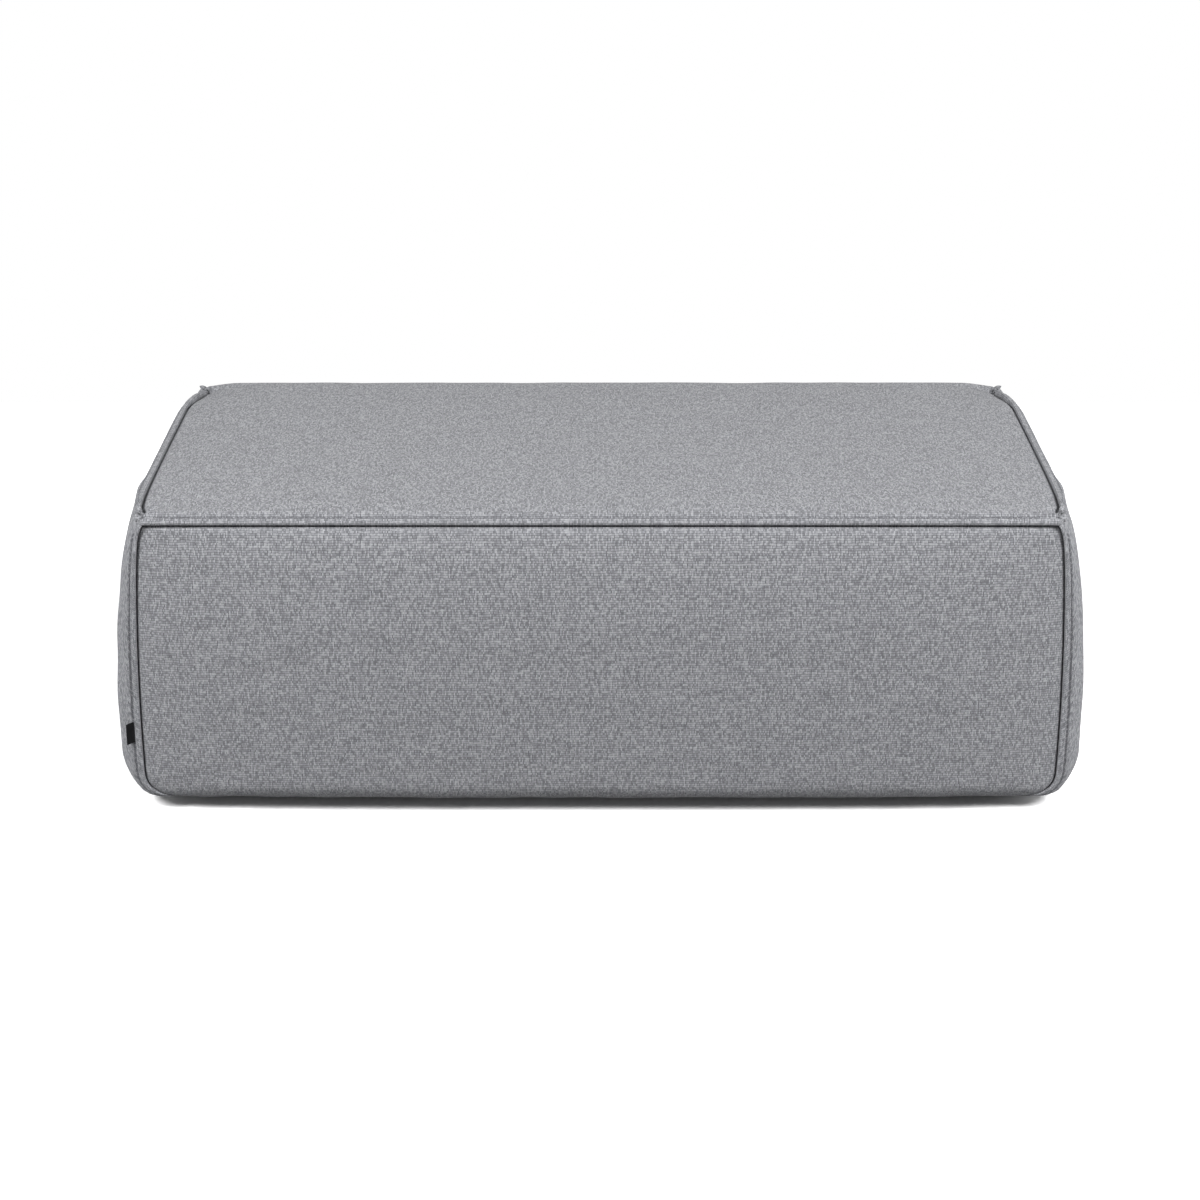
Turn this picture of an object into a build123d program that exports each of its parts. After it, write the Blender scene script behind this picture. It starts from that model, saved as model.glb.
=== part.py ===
from build123d import *
import os
from math import cos, pi, sin, sqrt, tan

# Upholstered ottoman coffee table: a finger-jointed plywood frame on four low feet, a woven
# webbing deck, a foam block with soft pads round it, and a sewn cover of five crowned panels.
# Millimetres. X runs along the width, Y from front (-Y) to back, Z up.
# The origin is on the floor, under the middle of the ottoman.

# Sewn cover: where its seams run, set out from the frame's faces
overall_height = 400        # floor to the top of the crown
side_seam_set_out = 5       # frame's side face to the front seam's upper corners
front_seam_set_out = 38     # frame's front face to the front seam
seam_flare = 19             # the upright seams lie this much further out at mid height
side_seam_bow = 10          # outward bow of the seams between side and top panels
cover_bottom = 18           # floor to the turned-in hem
cloth = 2.5                 # woven cover with its backing
seam_reveal = 0.4           # one cloth's edge to the next in a seam
mitre_ease = 2.5            # side panels' lower corners, out from the front panel's edge

# Sewn cover: swell and rounding of the panels
front_swell = 20            # front and back panels, in front of their seams
front_set_back = 4          # front and back panels' edges, behind the seam's fold
side_swell = 10             # side panels, beyond their rounded corners
top_crown = 8               # top panel, above its front and back rolls
top_dip = 9                 # top panel, down to where it passes under the side seams
corner_radius = 27          # upright corners, from the front seam round to the side
low_radius = 36             # rounding of the panels towards the hem
roll = 12                   # roll of the top panel down to the front and back seams
shoulder_drop = 14          # a seam's fold down to the shoulder of the panel below it
side_shoulder = 14          # rounded corner's reach at the side panel's shoulder
shoulder_flare = 6          # upright seams' lie at the shoulder, out from their upper corners
side_fold_drop = 9          # crown down to the side seams' folds
tuck = 8                    # a panel's edge, in under the lip that laps over it
side_tuck = 5
hem_width = 12              # front and back hems' edges, in from the frame's face
skin_gap = 1.5              # cover to the padding under it

# Frame of birch plywood, with pine posts in its corners
frame_half_width = 538
frame_half_depth = 232
frame_height = 215
board = 18
finger_count = 5
middle_bay_width = 360      # middle of one bearer to the other's
bearer_height = 96
tenon_height = 48
post_side = 40
post_drop = 25              # frame's top to a post's top

# Elastic webbing deck
strap_width = 60
strap_thickness = 1.2
strap_gap = 0.2             # upper strap to lower strap at a crossing
strap_ease = 2              # a strap stays level this far past the edge of one that it crosses
cross_strap_count = 8
cross_strap_set_in = 88     # frame's side face to the middle of the end cross strap
long_strap_count = 3
long_strap_set_in = 87      # frame's front face to the middle of the first long strap
strap_set_in = 3            # frame's face to a strap's end

# Foam block and padding
foam_top_drop = 25          # crown down to the foam block's top
foam_gap = 0.3              # padding to what carries it
pad_round = 8               # rounding at the top of the upright pads
wadding_round = 10

# Black underside cloth
dust_cloth = 1
dust_lap = 5                # underside cloth, beyond the hems' edges

# Feet
foot_side = 56
foot_corner = 6
foot_chamfer = 2
spigot_side = 20            # square boss through the underside cloth, up to the post
spigot_gap = 0.5
recess_radius = 7
recess_depth = 6
screw_radius = 2.3

# Blank woven label in the left front seam
label_height = 26
label_width = 12
label_thickness = 0.8
label_rise = 104            # floor to the label's middle
label_seam_offset = 9       # front seam to the label's sewn edge, round the corner
label_gap = 0.5

# Shares that shape the panels and place the sections along them
long_station_share = (0.0, 0.5, 0.8, 0.93, 0.97, 1.0)           # of a long panel's half length
pad_station_share = (0.0, 0.55, 0.85, 1.0)                  # of a long pad's half length
corner_station_share = (0.1, 0.3, 0.6, 1.0)                 # of the corner radius
side_station_share = (0.92, 0.75, 0.0)                      # of a side panel's straight half
shoulder_share = 0.35       # of the swell, at the shoulder
low_share = 0.85            # of the swell, above the lower rounding
belly_share = 0.48          # of the way from the lower rounding up to the shoulder
crown_end_share = 0.1       # of the crown, left at the side seams
seam_swell_share = 0.04     # of the swell, left at a panel's seam
swell_power = 4
dip_power = 10
bow_power = 10
arc_share = tan(pi / 8)     # from a quarter arc's chord to its corner

seam_half_width = frame_half_width + side_seam_set_out
seam_half_depth = frame_half_depth + front_seam_set_out
frame_bottom = cover_bottom + cloth
frame_top = frame_bottom + frame_height
deck_top = frame_top + 2 * strap_thickness + strap_gap
foam_top = overall_height - foam_top_drop
pad_top = foam_top - foam_gap
padding = cloth + skin_gap
top_fold = overall_height - top_crown - roll
side_fold = overall_height - side_fold_drop
shoulder = top_fold - shoulder_drop
low_edge = cover_bottom + low_radius
belly = low_edge + belly_share * (shoulder - low_edge)
low_half_width = seam_half_width + seam_flare
panel_half_length = low_half_width + seam_reveal
straight_half = seam_half_depth - corner_radius
front_hem = frame_half_depth - hem_width
side_hem = low_half_width - low_radius + seam_reveal
foot_height = cover_bottom - dust_cloth
post_x = frame_half_width - board - post_side / 2
post_y = frame_half_depth - board - post_side / 2


# A trace is a flat list: a point, then what leads to the next point (a point on an arc, or None
# for a line), then the next point, and so on.
def closed_wire(trace, place):
    """The trace as a closed wire, each of its flat points put in space by place."""
    edges = []
    for start, via, end in zip(trace[::2], trace[1::2], trace[2::2]):
        if via is None:
            edges.append(Edge.make_line(place(start), place(end)))
        else:
            edges.append(Edge.make_three_point_arc(place(start), place(via), place(end)))
    return Wire(edges)


def skin(outer, inner):
    """Closed trace of a cloth: along its outer line and back along its inner line."""
    return outer + [None] + inner[::-1] + [None, outer[0]]


def turn(start, corner, end):
    """A point on the arc that rounds off the corner between two points."""
    return tuple((1 - arc_share) * (s + e) / 2 + arc_share * c
                 for s, c, e in zip(start, corner, end))


def swell_at(place, half_length):
    """Share of the swell at a place along a panel: full in the middle, hardly any at its seam."""
    return max(seam_swell_share, sqrt(1 - min(1, abs(place) / half_length) ** swell_power))


def upright_trace(top, shoulder_out, belly_out, low_out, foot, hem_out, inset):
    """Line down a panel: its rolled top, belly, lower rounding and hem. Points are (out, up)."""
    start = (top[0], top[1] - inset)
    upper = (shoulder_out, shoulder)
    lower = (low_out, low_edge)
    return [start, turn(start, (shoulder_out, start[1]), upper), upper,
            (belly_out, belly), lower,
            turn(lower, (low_out, foot[1]), foot), foot,
            None, (hem_out, foot[1])]


def front_trace(x, inset=0):
    """Line down the front panel at a place along the width."""
    edge = seam_half_depth - front_set_back
    rise = front_set_back + front_swell
    low_out = edge + low_share * rise * swell_at(x, low_half_width)
    return upright_trace(
        top=(seam_half_depth - tuck, top_fold - seam_reveal),
        shoulder_out=edge + shoulder_share * rise * swell_at(x, seam_half_width) - inset,
        belly_out=edge + rise * swell_at(x, low_half_width) - inset,
        low_out=low_out - inset,
        foot=(low_out - low_radius, cover_bottom + inset),
        hem_out=front_hem,
        inset=inset)


def ring_out(y, inset):
    """Reach of the rounded upright corner at y, beyond the front seam."""
    along = max(0, abs(y) - straight_half)
    return sqrt(max(0, (corner_radius - inset) ** 2 - along ** 2))


def side_trace(y, inset=0):
    """Line down the side panel at a place along the depth."""
    share = min(1, abs(y) / straight_half)
    middle = 1 - share ** bow_power
    reach = ring_out(y, inset)
    round_share = ring_out(y, 0) / corner_radius
    fold_out = seam_half_width + side_seam_bow * middle
    shoulder_reach = side_shoulder * round_share - (ring_out(y, 0) - reach)
    low_out = low_half_width + low_share * side_swell * middle
    corner_share = min(1, max(0, abs(y) - straight_half) / (corner_radius - inset))
    hem_out = side_hem + (low_radius + mitre_ease) * corner_share
    lift = low_radius * (1 - sqrt(1 - corner_share ** 2))
    foot_out = max(low_out + ring_out(y, 0) - low_radius, hem_out + seam_reveal)
    return upright_trace(
        top=(fold_out, top_fold + (side_fold - top_fold) * round_share),
        shoulder_out=fold_out + shoulder_flare + max(0, shoulder_reach),
        belly_out=low_half_width + side_swell * middle + reach,
        low_out=low_out + reach,
        foot=(foot_out, min(low_edge - cloth, cover_bottom + lift + inset)),
        hem_out=hem_out,
        inset=inset)


def top_trace(x, inset=0):
    """Line over the top panel at a place along the width, from front fold to back fold."""
    share = abs(x) / (low_half_width + seam_reveal)
    edge_up = top_fold + roll - top_dip * share ** dip_power - inset
    crown = top_crown * (1 - (1 - crown_end_share) * share ** swell_power)
    fold = (seam_half_depth - inset, top_fold)
    edge = (seam_half_depth - roll, edge_up)
    bend = turn(fold, (fold[0], edge_up), edge)
    front = [(-p[0], p[1]) for p in (fold, bend, edge)]
    return front + [(0, edge_up + crown)] + [edge, bend, fold]


def along_width(x, sign=1):
    """Puts a flat (out, up) point on the section across the width at x."""
    return lambda p: Vector(x, sign * p[0], p[1])


def along_depth(y, sign=1):
    """Puts a flat (out, up) point on the section across the depth at y."""
    return lambda p: Vector(sign * p[0], y, p[1])


def both_ways(values):
    """The values with their negatives, in rising order."""
    return sorted({v for value in values for v in (value, -value)})


def pad_section(line, inner_out, top_up):
    """Closed trace of an upright pad: its outer line with a rounded top, and a flat inner face."""
    shoulder_point = line[2]
    start = (shoulder_point[0] - pad_round, top_up)
    foot = line[6]
    return ([start, turn(start, (shoulder_point[0], top_up), shoulder_point)] + line[2:7]
            + [None, (inner_out, foot[1]), None, (inner_out, top_up), None, start])


def closed_both_sides(side):
    """Closed trace of a line on the +X side and of its mirror image on the other side."""
    mirrored = [(-p[0], p[1]) if p else None for p in side[::-1]]
    return side + [None] + mirrored + [None, side[0]]


def front_outline():
    """The front seam seen from the front, as a solid to trim the front and back panels with."""
    half = seam_half_width - seam_reveal
    upper = (half, top_fold)
    brow = (half + shoulder_flare, shoulder)
    middle = (half + seam_flare, belly)
    lower = (half + seam_flare - seam_reveal, low_edge)
    bend = (lower[0] - low_radius, cover_bottom + cloth + mitre_ease)
    side = [upper, None, brow, middle, lower, turn(lower, (lower[0], bend[1]), bend), bend,
            None, (bend[0], cover_bottom - cloth)]
    place = along_depth(-overall_height)
    face = Face(closed_wire(closed_both_sides(side), place))
    return extrude(face, 2 * overall_height, dir=(0, 1, 0))


def top_outline():
    """The side seams seen from above, as a solid to trim the top panel with."""
    half = seam_half_width - seam_reveal
    widest = seam_half_width + side_seam_bow + side_tuck
    side = [(half, -seam_half_depth), None, (half, -straight_half), (widest, 0),
            (half, straight_half), None, (half, seam_half_depth)]
    face = Face(closed_wire(closed_both_sides(side), lambda p: Vector(*p, 0)))
    return extrude(face, 2 * overall_height)


def loft_through(traces, places, put):
    """Straight-ruled loft through closed traces, one at each place."""
    wires = [closed_wire(trace, put(place)) for trace, place in zip(traces, places)]
    return Solid.make_loft(wires, ruled=True)


def make_front_cover():
    places = both_ways([share * panel_half_length for share in long_station_share])
    traces = [skin(front_trace(x), front_trace(x, cloth)) for x in places]
    return loft_through(traces, places, lambda x: along_width(x, -1)) & front_outline()


def side_places(outermost):
    """Places of a side piece's sections: round its corners from the outermost, then along it."""
    corners = [seam_half_depth - share * corner_radius for share in corner_station_share]
    sides = [share * straight_half for share in side_station_share]
    return both_ways([min(outermost, place) for place in corners] + sides)


def make_side_cover():
    places = side_places(seam_half_depth)
    traces = [skin(side_trace(y), side_trace(y, cloth)) for y in places]
    return loft_through(traces, places, lambda y: along_depth(y, -1))


def make_top_cover():
    places = both_ways([share * panel_half_length for share in long_station_share])
    traces = [skin(top_trace(x), top_trace(x, cloth)) for x in places]
    return loft_through(traces, places, along_width) & top_outline()


def make_front_pad():
    places = both_ways([share * frame_half_width for share in pad_station_share])
    inner_out = frame_half_depth + foam_gap
    traces = [pad_section(front_trace(x, padding), inner_out, pad_top) for x in places]
    return loft_through(traces, places, lambda x: along_width(x, -1))


def make_side_pad():
    end = seam_half_depth - front_set_back - padding - skin_gap
    places = side_places(end)
    inner_out = frame_half_width + foam_gap
    top_up = top_fold - seam_reveal
    traces = [pad_section(side_trace(y, padding), inner_out, top_up) for y in places]
    return loft_through(traces, places, lambda y: along_depth(y, -1))


def make_wadding():
    """Fibre wadding over the foam block and the upright pads, crowned under the top panel."""
    half = seam_half_depth - tuck - skin_gap
    edge = half - wadding_round
    rise = foam_top + cloth
    places = both_ways([share * frame_half_width for share in pad_station_share])
    traces = []
    for x in places:
        over = top_trace(x, padding)
        crown_up, edge_up = over[3][1], over[4][1]
        side = [(half, foam_top), None, (half, rise),
                turn((half, rise), (half, edge_up), (edge, edge_up)), (edge, edge_up)]
        front = [(-p[0], p[1]) if p else None for p in side]
        traces.append(front + [(0, crown_up)] + side[::-1] + [None, front[0]])
    return loft_through(traces, places, along_width)


def slab(x, y, z):
    """A box between pairs of limits."""
    size = [high - low for low, high in (x, y, z)]
    middle = [(high + low) / 2 for low, high in (x, y, z)]
    return Pos(*middle) * Box(*size)


def four_ways(x, y):
    """The four places that mirror one another across the middle."""
    return [(sx * x, sy * y) for sx in (-1, 1) for sy in (-1, 1)]


def make_rails():
    """Front, back and side rails, finger-jointed at the corners, with mortises for the bearers."""
    finger = frame_height / finger_count
    tongues = [(frame_bottom + i * finger, frame_bottom + (i + 1) * finger)
               for i in range(finger_count)]
    ends = [(-frame_half_width, board - frame_half_width),
            (frame_half_width - board, frame_half_width)]
    faces = [(-frame_half_depth, board - frame_half_depth),
             (frame_half_depth - board, frame_half_depth)]
    up = (frame_bottom, frame_top)
    rails = {}
    for name, face in zip(("front_rail", "back_rail"), faces):
        rail = slab((-frame_half_width, frame_half_width), face, up)
        for end in ends:
            for tongue in tongues[1::2]:
                rail -= slab(end, face, tongue)
        for side in (-1, 1):
            rail -= slab(bearer_limits(side), face, tenon_limits())
        rails[name] = rail
    for name, end in zip(("left_rail", "right_rail"), ends):
        rail = slab(end, (-frame_half_depth, frame_half_depth), up)
        for face in faces:
            for tongue in tongues[::2]:
                rail -= slab(end, face, tongue)
        rails[name] = rail
    return rails


def bearer_limits(side):
    middle = side * middle_bay_width / 2
    return (middle - board / 2, middle + board / 2)


def tenon_limits():
    low = frame_bottom + (bearer_height - tenon_height) / 2
    return (low, low + tenon_height)


def make_bearer(side):
    """Board across the frame, tenoned through the front and back rails."""
    inner = frame_half_depth - board
    web = slab(bearer_limits(side), (-inner, inner), (frame_bottom, frame_bottom + bearer_height))
    tenons = slab(bearer_limits(side), (-frame_half_depth, frame_half_depth), tenon_limits())
    return web + tenons


def make_post(x, y):
    half = post_side / 2
    return slab((x - half, x + half), (y - half, y + half),
                (frame_bottom, frame_top - post_drop))


def make_strap(middle, crossings, half_length, first_over, run):
    """Webbing strap, woven over and under the straps that it crosses."""
    low = frame_top
    high = frame_top + strap_thickness + strap_gap
    reach = strap_width / 2 + strap_ease
    line = [(-half_length, low)]
    for i, crossing in enumerate(crossings):
        level = high if (i % 2 == 0) == first_over else low
        line += [(crossing - reach, level), (crossing + reach, level)]
    line.append((half_length, low))
    over = [(place, level + strap_thickness) for place, level in line]
    outline = line + over[::-1]
    half = strap_width / 2
    if run == "depth":
        points = [(middle - half, place, level) for place, level in outline]
        return extrude(Face(Wire.make_polygon(points)), strap_width, dir=(1, 0, 0))
    points = [(place, middle - half, level) for place, level in outline]
    return extrude(Face(Wire.make_polygon(points)), strap_width, dir=(0, 1, 0))


def spread(count, half_width):
    """Places evenly spread about the middle, the first and last at the half width."""
    return [half_width * (2 * i / (count - 1) - 1) for i in range(count)]


def make_straps():
    """The woven deck: cross straps from front to back, long straps from side to side."""
    cross_places = spread(cross_strap_count, frame_half_width - cross_strap_set_in)
    long_places = spread(long_strap_count, frame_half_depth - long_strap_set_in)
    straps = {}
    for i, x in enumerate(cross_places):
        straps[f"cross_strap_{i + 1}"] = make_strap(
            x, long_places, frame_half_depth - strap_set_in, i % 2 == 0, "depth")
    for i, y in enumerate(long_places):
        straps[f"long_strap_{i + 1}"] = make_strap(
            y, cross_places, frame_half_width - strap_set_in, i % 2 == 1, "width")
    return straps


def make_foam_block():
    return slab((-frame_half_width, frame_half_width), (-frame_half_depth, frame_half_depth),
                (deck_top + foam_gap, pad_top))


def make_foot():
    """Low foot: a chamfered block with a square spigot on top and a counterbored screw hole."""
    block = Pos(0, 0, foot_height / 2) * Box(foot_side, foot_side, foot_height)
    block = chamfer(block.edges().filter_by(Axis.Z), foot_corner)
    block = chamfer(block.faces().sort_by(Axis.Z)[0].edges(), foot_chamfer)
    half = spigot_side / 2
    spigot = slab((-half, half), (-half, half), (foot_height, frame_bottom))
    recess = Pos(0, 0, recess_depth / 2) * Cylinder(recess_radius, recess_depth)
    bore = Pos(0, 0, frame_bottom / 2) * Cylinder(screw_radius, frame_bottom)
    return block + spigot - recess - bore


def make_dust_cloth():
    """Black cloth stapled under the frame, over the hem, with a window for each foot's spigot."""
    x = side_hem + dust_lap
    y = front_hem + dust_lap
    up = (cover_bottom - dust_cloth, cover_bottom)
    cloth_sheet = slab((-x, x), (-y, y), up)
    window = spigot_side / 2 + spigot_gap
    for px, py in four_ways(post_x, post_y):
        cloth_sheet -= slab((px - window, px + window), (py - window, py + window), up)
    return cloth_sheet


def circle_out(line, up):
    """Reach, at a height, of the circle through a panel's shoulder, belly and lower points."""
    (x1, z1), (x2, z2), (x3, z3) = line[2:5]
    a, b = x1 ** 2 + z1 ** 2 - x2 ** 2 - z2 ** 2, x1 ** 2 + z1 ** 2 - x3 ** 2 - z3 ** 2
    det = 2 * ((x1 - x2) * (z1 - z3) - (x1 - x3) * (z1 - z2))
    middle_x = (a * (z1 - z3) - b * (z1 - z2)) / det
    middle_z = (b * (x1 - x2) - a * (x1 - x3)) / det
    reach = sqrt((x1 - middle_x) ** 2 + (z1 - middle_z) ** 2 - (up - middle_z) ** 2)
    return middle_x + reach


def make_label():
    """Blank folded label, its edge caught in the left front seam, lying round the corner."""
    base = circle_out(side_trace(straight_half), label_rise) - corner_radius
    inner = corner_radius + label_gap
    first = label_seam_offset / corner_radius
    last = first + label_width / inner
    middle = (first + last) / 2

    def at(radius, angle):
        return (-base - radius * sin(angle), -straight_half - radius * cos(angle))

    outer = inner + label_thickness
    trace = [at(inner, first), at(inner, middle), at(inner, last), None,
             at(outer, last), at(outer, middle), at(outer, first), None, at(inner, first)]
    bottom = label_rise - label_height / 2
    face = Face(closed_wire(trace, lambda p: Vector(p[0], p[1], bottom)))
    return extrude(face, label_height, dir=(0, 0, 1))


def make_frame():
    """Rails, bearers and posts."""
    pieces = make_rails()
    pieces["left_bearer"] = make_bearer(-1)
    pieces["right_bearer"] = make_bearer(1)
    names = ("post_front_left", "post_back_left", "post_front_right", "post_back_right")
    for name, (x, y) in zip(names, four_ways(post_x, post_y)):
        pieces[name] = make_post(x, y)
    return pieces


def make_feet():
    """Four feet under the posts."""
    names = ("foot_front_left", "foot_back_left", "foot_front_right", "foot_back_right")
    foot = make_foot()
    return {name: Pos(x, y, 0) * foot for name, (x, y) in zip(names, four_ways(post_x, post_y))}


def make_cover():
    """The five sewn panels and the label."""
    front = make_front_cover()
    side = make_side_cover()
    return {
        "cover_top": make_top_cover(),
        "cover_front": front,
        "cover_back": mirror(front, Plane.XZ),
        "cover_left": side,
        "cover_right": mirror(side, Plane.YZ),
        "side_label": make_label(),
    }


def make_padding():
    """Foam block, fibre wadding and the four upright pads."""
    front = make_front_pad()
    side = make_side_pad()
    return {
        "foam_block": make_foam_block(),
        "wadding_top": make_wadding(),
        "pad_front": front,
        "pad_back": mirror(front, Plane.XZ),
        "pad_left": side,
        "pad_right": mirror(side, Plane.YZ),
    }


parts = {**make_frame(), **make_straps(), **make_padding(), **make_cover(),
         **make_feet(), "dust_cloth": make_dust_cloth()}
os.makedirs("parts", exist_ok=True)
for name, piece in parts.items():
    export_step(piece, f"parts/{name}.step")
print(len(parts), "nodes")
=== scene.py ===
import math

import bmesh
import bpy
import numpy as np
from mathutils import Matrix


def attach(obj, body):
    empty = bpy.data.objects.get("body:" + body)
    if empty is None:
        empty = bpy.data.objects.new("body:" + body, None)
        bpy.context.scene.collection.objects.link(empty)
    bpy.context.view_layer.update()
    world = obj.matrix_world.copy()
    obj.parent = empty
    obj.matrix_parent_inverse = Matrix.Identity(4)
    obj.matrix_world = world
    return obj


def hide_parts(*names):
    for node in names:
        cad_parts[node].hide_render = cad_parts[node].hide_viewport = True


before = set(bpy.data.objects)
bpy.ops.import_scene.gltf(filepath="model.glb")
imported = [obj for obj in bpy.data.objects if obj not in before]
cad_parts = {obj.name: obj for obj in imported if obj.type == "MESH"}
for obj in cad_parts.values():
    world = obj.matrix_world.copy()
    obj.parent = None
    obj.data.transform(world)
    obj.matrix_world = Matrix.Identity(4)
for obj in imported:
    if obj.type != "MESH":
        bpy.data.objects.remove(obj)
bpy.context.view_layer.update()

print("frame loaded:", len(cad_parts), "nodes")

# Upholstered ottoman coffee table. Sizes are in millimetres and become metres where a mesh is made.
# A grid is an array of points: rows, columns, and x, y and z.


def spread(*runs):
    # places along a line: each run is (start, end, steps) and follows on from the one before
    places = [np.array([runs[0][0]], float)]
    for start, end, steps in runs:
        places.append(np.linspace(start, end, steps + 1)[1:])
    return np.concatenate(places)


def bothSides(half):
    # places from 0 outwards, and the same to the other side of 0
    return np.concatenate([-half[:0:-1], half])


def easeStep(x, start=0, run=1):
    # 0 to 1 with level ends, from start over a run, which may be negative: 3 x squared - 2 x cubed
    x = np.clip((x - start) / run, 0, 1)
    return x * x * (3 - 2 * x)


def bell(x, middle, reach):
    # 1 at the middle, fading by e to the minus square of the distance over the reach
    return np.exp(-((x - middle) / reach) ** 2)


def settle(grid, passes):
    # each point moves halfway to the mean of the points above and below; the end rows stay
    g = grid.copy()
    for _ in range(passes):
        g[1:-1] = (g[:-2] + 2 * g[1:-1] + g[2:]) / 4
    return g


def gridNormals(grid):
    # cross product of the steps along the rows and down the columns, made one long
    down = np.gradient(grid, axis=0)
    along = np.gradient(grid, axis=1)
    n = np.cross(down, along)
    return n / np.maximum(np.linalg.norm(n, axis=2, keepdims=True), 1e-9)


def lineRun(line):
    # distance walked along a line of points
    return np.concatenate([[0], np.cumsum(np.linalg.norm(np.diff(line, axis=0), axis=1))])


def runLength(grid, axis):
    # distance walked from the first row or column
    steps = np.linalg.norm(np.diff(grid, axis=axis), axis=2)
    pad = [(1, 0), (0, 0)] if axis == 0 else [(0, 0), (1, 0)]
    return np.cumsum(np.pad(steps, pad), axis=axis)


def ripple(x, y, seed, waves=9, low=0.004, high=0.02):
    # sum of a few long sine waves in seeded directions, between about -1 and 1; low and high are
    # their waves to a millimetre
    dice = np.random.default_rng(seed)
    lap = 6.28
    total = np.zeros(np.broadcast(x, y).shape)
    for _ in range(waves):
        turn, beat, start = dice.uniform(0, math.pi), dice.uniform(low, high), dice.uniform(0, lap)
        total += np.sin((x * math.cos(turn) + y * math.sin(turn)) * beat * lap + start)
    return total / waves ** 0.5


def quadsOf(index):
    # the faces between neighbouring rows and columns of point numbers
    cell = [index[:-1, :-1], index[1:, :-1], index[1:, 1:], index[:-1, 1:]]
    return np.stack(cell, axis=-1).reshape(-1, 4)


def capsuleFaces(rings, around):
    # faces of a shape whose points are a pole, some rings and another pole: triangles, quads
    this = np.arange(around)
    after = (this + 1) % around
    first = 1 + around * np.arange(rings)[:, None]
    pole = 1 + around * rings
    caps = [np.stack([0 * this, 1 + after, 1 + this], axis=1),
            np.stack([pole + 0 * this, first[-1] + this, first[-1] + after], axis=1)]
    sides = [first[:-1] + this, first[:-1] + after, first[1:] + after, first[1:] + this]
    return np.concatenate(caps), np.stack(sides, axis=-1).reshape(-1, 4)


def addPiece(name, mesh):
    piece = bpy.data.objects.new(name, mesh)
    bpy.context.scene.collection.objects.link(piece)
    return piece


def facedPiece(name, points, faces, uv=None):
    # points and lists of their numbers as one smooth piece, with a weave map if the points have one
    mesh = bpy.data.meshes.new(name)
    mesh.from_pydata((points / 1000).tolist(), [], faces)
    if uv is not None:
        layer = mesh.uv_layers.new(name="weave")
        layer.data.foreach_set("uv", (uv[np.ravel(faces)] / 1000).astype(np.float32).ravel())
    mesh.polygons.foreach_set("use_smooth", np.ones(len(mesh.polygons), dtype=bool))
    mesh.validate()
    return addPiece(name, mesh)


def closedPiece(name, outer, inner, uv, flip=False):
    # two grids with the same border, the second behind the first, joined along the border into one
    # closed skin; both share the weave map
    rows, cols = outer.shape[:2]
    front = np.arange(rows * cols).reshape(rows, cols)
    behind = front + rows * cols
    ring = np.concatenate([front[0, :-1], front[:-1, -1], front[-1, :0:-1], front[:0:-1, 0]])
    on = np.roll(ring, -1)
    edge = np.stack([ring, on, on + rows * cols, ring + rows * cols], axis=1)
    quads = np.concatenate([quadsOf(front), quadsOf(behind)[:, ::-1], edge])
    if flip:
        quads = quads[:, ::-1]
    points = np.concatenate([outer.reshape(-1, 3), inner.reshape(-1, 3)])
    return facedPiece(name, points, quads.tolist(), np.concatenate([uv.reshape(-1, 2)] * 2))


class Link:
    # one output of a node; + - * % ** < > with numbers or other links add Math nodes
    def __init__(self, nodes, out):
        self.nodes, self.out = nodes, out

    def other(self, name):
        return Link(self.nodes, self.out.node.outputs[name])

    def math(self, operation, a, b=0.0):
        return self.nodes.add("Math", {"operation": operation}, {0: a, 1: b})

    def __add__(self, other):
        return self.math("ADD", self, other)

    __radd__ = __add__

    def __sub__(self, other):
        return self.math("SUBTRACT", self, other)

    def __rsub__(self, other):
        return self.math("SUBTRACT", other, self)

    def __mul__(self, other):
        return self.math("MULTIPLY", self, other)

    __rmul__ = __mul__

    def __mod__(self, other):
        return self.math("FLOORED_MODULO", self, other)

    def __pow__(self, other):
        return self.math("POWER", self, other)

    def __lt__(self, other):
        return self.math("LESS_THAN", self, other)

    def __gt__(self, other):
        return self.math("GREATER_THAN", self, other)

    def __abs__(self):
        return self.math("ABSOLUTE", self)

    def sine(self):
        return self.math("SINE", self)

    def floor(self):
        return self.math("FLOOR", self)

    def fraction(self):
        return self.math("FRACT", self)

    def orElse(self, other):
        return self.math("MAXIMUM", self, other)


class Nodes:
    # a node tree that is filled by add
    def __init__(self, owner):
        owner.use_nodes = True
        self.tree = owner.node_tree
        self.tree.nodes.clear()

    def add(self, kind, settings=None, sockets=None, output=0):
        # a node by its type; its settings come first, then its sockets' values or links
        node = self.tree.nodes.new("ShaderNode" + kind)
        for key, value in (settings or {}).items():
            if key == "stops":
                ramp = node.color_ramp
                while len(ramp.elements) < len(value):
                    ramp.elements.new(0.5)
                for stop, (place, colour) in zip(ramp.elements, value):
                    stop.position, stop.color = place, colour
            else:
                setattr(node, key, value)
        for key, value in (sockets or {}).items():
            if isinstance(value, Link):
                self.tree.links.new(value.out, node.inputs[key])
            else:
                node.inputs[key].default_value = value
        return Link(self, node.outputs[output]) if node.outputs else None

    def mix(self, share, a, b):
        return self.add("Mix", {"data_type": "RGBA"}, {0: share, 6: a, 7: b}, 2)

    def split(self, vector):
        parts = self.add("SeparateXYZ", None, {0: vector})
        return parts, parts.other(1), parts.other(2)

    def stretch(self, vector, by):
        return self.add("VectorMath", {"operation": "MULTIPLY"}, {0: vector, 1: by})

    def noise(self, vector, scale, detail, distortion=0.0):
        return self.add("TexNoise", None,
                        {"Vector": vector, "Scale": scale, "Detail": detail, "Distortion": distortion})

    def bump(self, strength, distance, height):
        return self.add("Bump", None, {"Strength": strength, "Distance": distance, "Height": height})


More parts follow.
